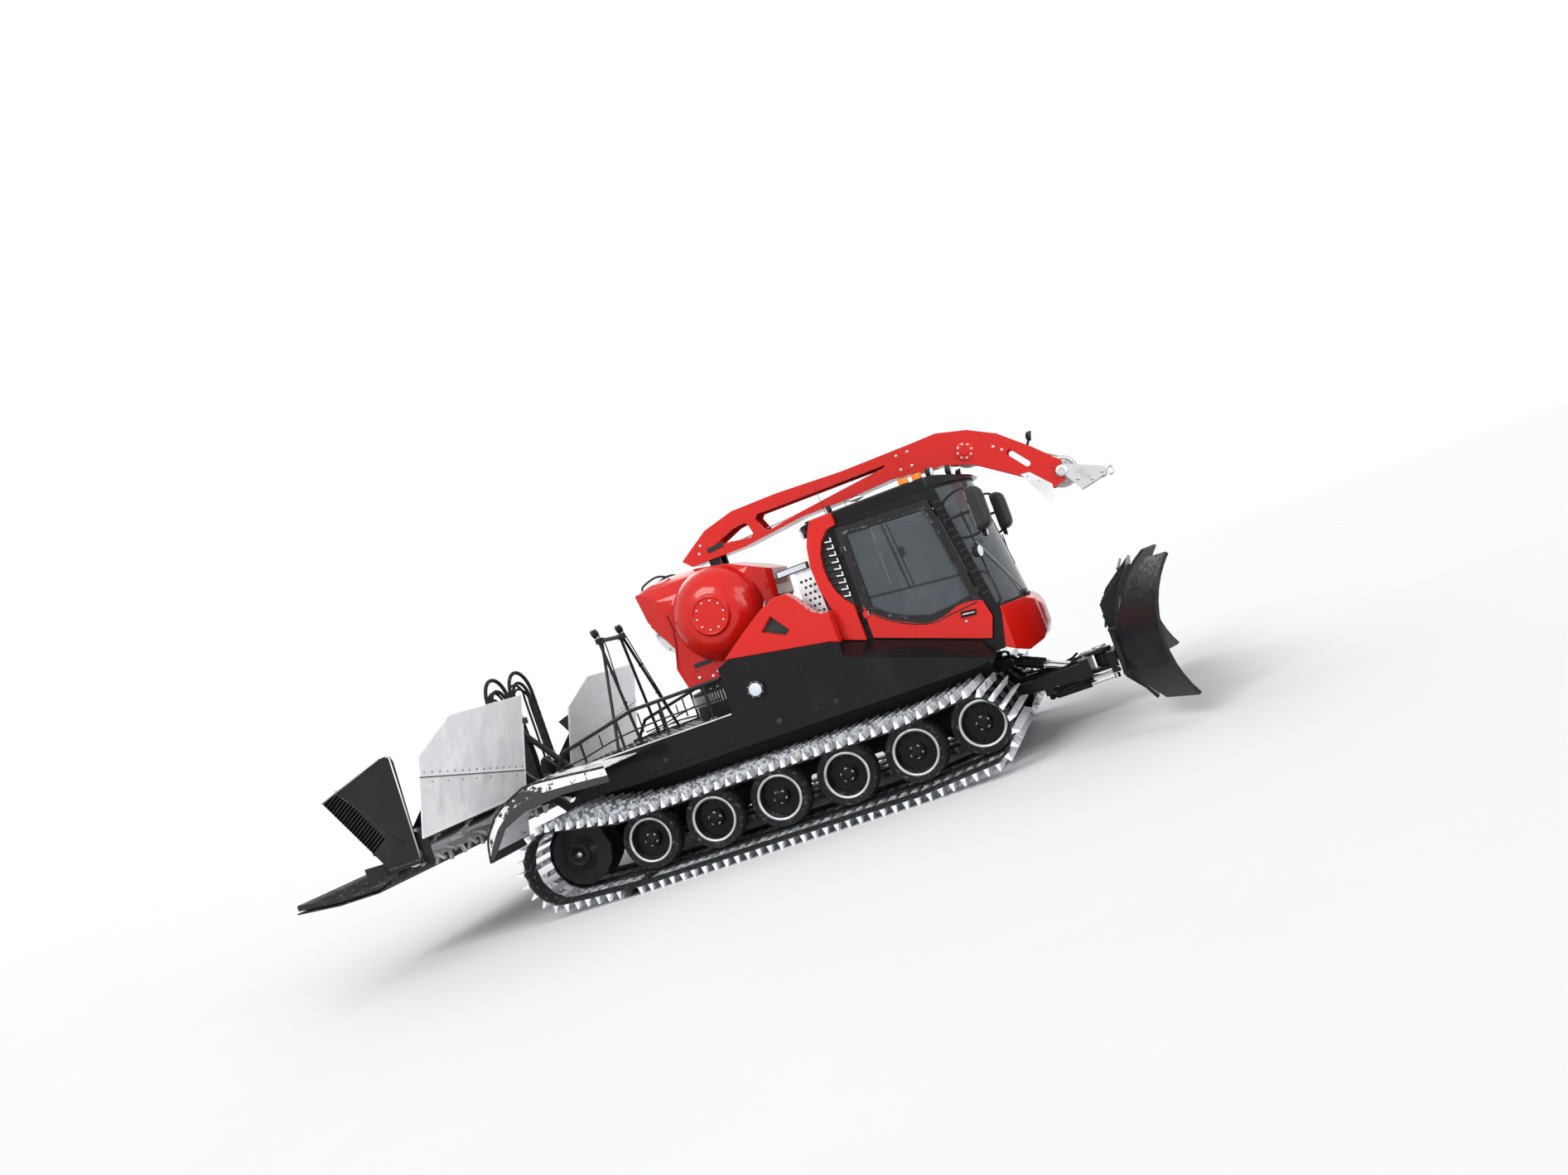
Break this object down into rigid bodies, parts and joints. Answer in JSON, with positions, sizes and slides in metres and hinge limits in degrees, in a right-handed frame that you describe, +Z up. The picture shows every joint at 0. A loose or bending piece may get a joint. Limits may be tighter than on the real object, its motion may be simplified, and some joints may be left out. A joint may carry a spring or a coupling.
{
  "type": "snow groomer with rope winch",
  "caption": "Tracked snow groomer with a cab, front blade with wings, slewing rope winch with a boom over the cab, and a rear tiller with rotors and finisher.",
  "frame": {"origin": "middle of the bounding box on the ground under the tracks", "axes": "+X is the front, +Y the left side, +Z up"},
  "size_m": [8.7137, 5.5, 3.268],
  "materials": {
    "black_steel": "satin black paint",
    "red_paint": "glossy red paint",
    "black_paint": "glossy black paint",
    "silver_bars": "worn aluminium",
    "rubber": "black rubber",
    "white_worn": "white paint, worn",
    "glass": "tinted",
    "bright": "polished",
    "grey_steel": "machined steel",
    "dark_plastic": "dark plastic",
    "seat_cloth": "woven cloth",
    "lamp_amber": "clear amber",
    "snow_white": "white, frosted with snow"
  },
  "bodies": {
    "vehicle": {"chassis_hull": "black_steel", "engine_block": "black_steel", "track_left": "silver_bars", "track_right": "silver_bars", "tyres": "rubber", "rims": "grey_steel", "sprockets": "black_steel", "fenders": "white_worn", "side_bodies": "black_paint", "rear_deck": "black_steel", "rear_bracket": "black_steel", "deck_rails": "black_steel", "fairings": "red_paint", "cab_pillars": "red_paint", "louvres": "black_steel", "cab_shell": "black_paint", "cab_roof": "black_paint", "nose": "red_paint", "cab_glass": "glass", "cab_console": "dark_plastic", "seats": "seat_cloth", "mirrors": "dark_plastic", "lamps": "lamp_amber", "winch_base": "black_steel"},
    "left_door": {"door_left": "red_paint", "door_left_glass": "glass"},
    "right_door": {"door_right": "red_paint", "door_right_glass": "glass"},
    "winch": {"winch_frame": "black_steel", "winch_cover": "red_paint", "boom": "red_paint"},
    "drum": {"winch_drum": "grey_steel"},
    "boom_bend": {"bend_sheave": "grey_steel"},
    "boom_tip": {"tip_sheave": "grey_steel"},
    "rope_guide": {"rope_head": "grey_steel"},
    "push": {"push_frame": "black_steel"},
    "front_barrels": {"lift_barrels": "black_steel"},
    "front_rods": {"lift_rods": "bright"},
    "carrier": {"blade_carrier": "black_steel"},
    "left_angle_barrel": {"angle_barrel_left": "black_steel"},
    "right_angle_barrel": {"angle_barrel_right": "black_steel"},
    "left_angle_rod": {"angle_rod_left": "bright"},
    "right_angle_rod": {"angle_rod_right": "bright"},
    "blade_body": {"blade": "black_steel"},
    "left_blade_wing": {"blade_wing_left": "black_steel"},
    "right_blade_wing": {"blade_wing_right": "black_steel"},
    "rear_arms": {"tiller_arms": "black_steel"},
    "rear_barrels": {"tiller_barrels": "black_steel"},
    "rear_rods": {"tiller_rods": "bright"},
    "rear_link": {"tiller_link": "black_steel"},
    "tiller": {"tiller_frame": "black_steel", "tiller_covers": "snow_white", "finisher": "rubber", "hoses": "rubber"},
    "left_rotor": {"rotor_left": "black_steel"},
    "right_rotor": {"rotor_right": "black_steel"},
    "left_side_wing": {"side_wing_left": "black_steel"},
    "right_side_wing": {"side_wing_right": "black_steel"}
  },
  "joints": [
    {"name": "left_door_hinge", "type": "hinge", "parent": "vehicle", "child": "left_door", "pos_m": [1.516, 0.983, 1.75], "axis": [0, 0, 1], "range_deg": [0, 75]},
    {"name": "right_door_hinge", "type": "hinge", "parent": "vehicle", "child": "right_door", "pos_m": [1.516, -0.983, 1.75], "axis": [0, 0, -1], "range_deg": [0, 75]},
    {"name": "winch_slew", "type": "hinge", "parent": "vehicle", "child": "winch", "pos_m": [-0.226, 0, 1.57], "axis": [0, 0, 1], "continuous": true},
    {"name": "drum_spin", "type": "hinge", "parent": "winch", "child": "drum", "pos_m": [-0.546, 0, 2.3], "axis": [0, 1, 0], "continuous": true},
    {"name": "bend_sheave_spin", "type": "hinge", "parent": "winch", "child": "boom_bend", "pos_m": [2.894, 0, 2.96], "axis": [0, 1, 0], "continuous": true},
    {"name": "tip_sheave_spin", "type": "hinge", "parent": "winch", "child": "boom_tip", "pos_m": [3.719, 0, 2.43], "axis": [0, 1, 0], "continuous": true},
    {"name": "rope_guide_hinge", "type": "hinge", "parent": "winch", "child": "rope_guide", "pos_m": [3.719, 0, 2.43], "axis": [0, 1, 0], "range_deg": [-30, 30]},
    {"name": "blade_lift", "type": "hinge", "parent": "vehicle", "child": "push", "pos_m": [2.524, 0, 0.52], "axis": [0, -1, 0], "range_deg": [-9.5, 28]},
    {"name": "lift_barrels_hinge", "type": "hinge", "parent": "vehicle", "child": "front_barrels", "pos_m": [2.594, 0, 0.8], "axis": [0, -1, 0], "range_deg": [-11, 30]},
    {"name": "lift_rods_slide", "type": "slide", "parent": "front_barrels", "child": "front_rods", "axis": [0.9191, 0, -0.3939], "range_m": [-0.142, 0.05]},
    {"name": "blade_angle", "type": "hinge", "parent": "push", "child": "carrier", "pos_m": [3.454, 0, 0.52], "axis": [0, 0, 1], "range_deg": [-22, 22]},
    {"name": "left_angle_barrel_hinge", "type": "hinge", "parent": "push", "child": "left_angle_barrel", "pos_m": [2.884, 0.29, 0.355], "axis": [0, 0, 1], "range_deg": [-4, 4]},
    {"name": "left_angle_rod_slide", "type": "slide", "parent": "left_angle_barrel", "child": "left_angle_rod", "axis": [0.9995, -0.0303, 0], "range_m": [-0.11, 0.11]},
    {"name": "right_angle_barrel_hinge", "type": "hinge", "parent": "push", "child": "right_angle_barrel", "pos_m": [2.884, -0.29, 0.355], "axis": [0, 0, 1], "range_deg": [-4, 4]},
    {"name": "right_angle_rod_slide", "type": "slide", "parent": "right_angle_barrel", "child": "right_angle_rod", "axis": [0.9995, 0.0303, 0], "range_m": [-0.11, 0.11]},
    {"name": "blade_tilt", "type": "hinge", "parent": "carrier", "child": "blade_body", "pos_m": [3.524, 0, 0.53], "axis": [1, 0, 0], "range_deg": [-8, 8]},
    {"name": "left_wing_hinge", "type": "hinge", "parent": "blade_body", "child": "left_blade_wing", "pos_m": [3.696, 1.768, 0.7], "axis": [0, 0, -1], "range_deg": [-28, 25]},
    {"name": "right_wing_hinge", "type": "hinge", "parent": "blade_body", "child": "right_blade_wing", "pos_m": [3.696, -1.768, 0.7], "axis": [0, 0, 1], "range_deg": [-28, 25]},
    {"name": "rear_lift", "type": "hinge", "parent": "vehicle", "child": "rear_arms", "pos_m": [-2.37, 0, 0.781], "axis": [0, 1, 0], "range_deg": [-64, 0]},
    {"name": "rear_barrels_hinge", "type": "hinge", "parent": "vehicle", "child": "rear_barrels", "pos_m": [-2.026, 0, 1.19], "axis": [0, 1, 0], "range_deg": [-26, 1]},
    {"name": "rear_rods_slide", "type": "slide", "parent": "rear_barrels", "child": "rear_rods", "axis": [-0.989, 0, -0.1482], "range_m": [0, 0.297]},
    {"name": "tiller_level", "type": "hinge", "parent": "rear_arms", "child": "tiller", "pos_m": [-2.87, 0, 1.421], "axis": [0, 1, 0], "range_deg": [0, 64]},
    {"name": "link_hinge", "type": "hinge", "parent": "vehicle", "child": "rear_link", "pos_m": [-2.356, 0, 1.18], "axis": [0, 1, 0], "range_deg": [-64, 0]},
    {"name": "left_rotor_spin", "type": "hinge", "parent": "tiller", "child": "left_rotor", "pos_m": [-2.956, 0, 1.06], "axis": [0, 1, 0], "continuous": true},
    {"name": "right_rotor_spin", "type": "hinge", "parent": "tiller", "child": "right_rotor", "pos_m": [-2.956, 0, 1.06], "axis": [0, 1, 0], "continuous": true},
    {"name": "left_side_wing_hinge", "type": "hinge", "parent": "tiller", "child": "left_side_wing", "pos_m": [-3.076, 2.68, 1], "axis": [-1, 0, 0], "range_deg": [0, 90]},
    {"name": "right_side_wing_hinge", "type": "hinge", "parent": "tiller", "child": "right_side_wing", "pos_m": [-3.076, -2.68, 1], "axis": [1, 0, 0], "range_deg": [0, 90]}
  ],
  "couplings": [
    {"joint": "lift_barrels_hinge", "follows": "blade_lift", "ratio": 1},
    {"joint": "lift_rods_slide", "follows": "blade_lift", "m_per_rad": -0.28443},
    {"joint": "left_angle_barrel_hinge", "follows": "blade_angle", "ratio": 0.11},
    {"joint": "left_angle_rod_slide", "follows": "blade_angle", "m_per_rad": -0.268},
    {"joint": "right_angle_barrel_hinge", "follows": "blade_angle", "ratio": 0.11},
    {"joint": "right_angle_rod_slide", "follows": "blade_angle", "m_per_rad": 0.268},
    {"joint": "rear_barrels_hinge", "follows": "rear_lift", "ratio": 0.385},
    {"joint": "rear_rods_slide", "follows": "rear_lift", "m_per_rad": -0.25962},
    {"joint": "tiller_level", "follows": "rear_lift", "ratio": -1},
    {"joint": "link_hinge", "follows": "rear_lift", "ratio": 1}
  ]
}
